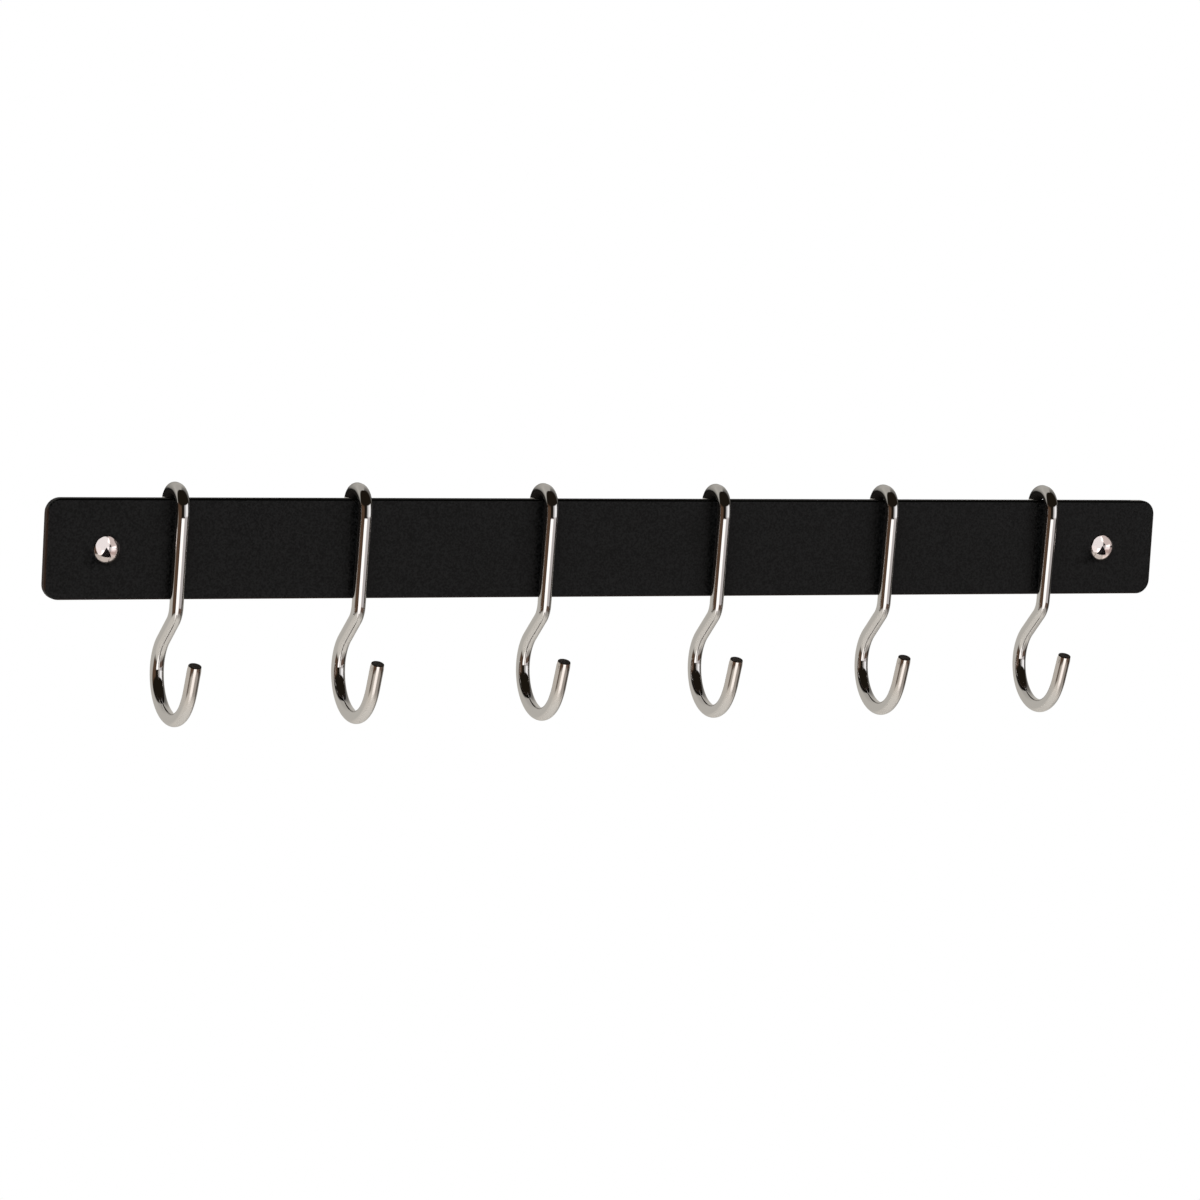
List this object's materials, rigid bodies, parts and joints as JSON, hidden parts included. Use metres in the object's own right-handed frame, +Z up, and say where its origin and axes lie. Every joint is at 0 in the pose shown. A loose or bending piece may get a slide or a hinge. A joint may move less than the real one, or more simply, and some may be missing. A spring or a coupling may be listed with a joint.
{
  "type": "wall rail",
  "caption": "Wall-mounted flat steel bar on stand-offs, held by capped screws, with bent wire hooks that hang over its top edge and slide along it.",
  "frame": {"origin": "on the wall plane, midway between the two screws, at the bar's mid-height", "axes": "+X along the bar to the right as seen from the room, +Y into the wall, +Z up"},
  "size_m": [0.5, 0.0769, 0.096],
  "materials": {
    "black_coat": "matt black powder coat with a fine grain",
    "chrome": "polished chrome plate on steel wire",
    "plated_steel": "plated steel, satin"
  },
  "bodies": {
    "rail": {"rail_bar": "black_coat", "spacer_left": "plated_steel", "spacer_right": "plated_steel", "wall_screw_left": "plated_steel", "wall_screw_right": "plated_steel", "dome_cap_left": "chrome", "dome_cap_right": "chrome"},
    "hook_1": {"hook_1": "chrome"},
    "hook_2": {"hook_2": "chrome"},
    "hook_3": {"hook_3": "chrome"},
    "hook_4": {"hook_4": "chrome"},
    "hook_5": {"hook_5": "chrome"},
    "hook_6": {"hook_6": "chrome"}
  },
  "joints": [
    {"name": "hook_1_slide", "type": "slide", "parent": "rail", "child": "hook_1", "axis": [1, 0, 0], "range_m": [-0.0185, 0.035]},
    {"name": "hook_2_slide", "type": "slide", "parent": "rail", "child": "hook_2", "axis": [1, 0, 0], "range_m": [-0.035, 0.035]},
    {"name": "hook_3_slide", "type": "slide", "parent": "rail", "child": "hook_3", "axis": [1, 0, 0], "range_m": [-0.035, 0.035]},
    {"name": "hook_4_slide", "type": "slide", "parent": "rail", "child": "hook_4", "axis": [1, 0, 0], "range_m": [-0.035, 0.035]},
    {"name": "hook_5_slide", "type": "slide", "parent": "rail", "child": "hook_5", "axis": [1, 0, 0], "range_m": [-0.035, 0.035]},
    {"name": "hook_6_slide", "type": "slide", "parent": "rail", "child": "hook_6", "axis": [1, 0, 0], "range_m": [-0.035, 0.018]}
  ]
}
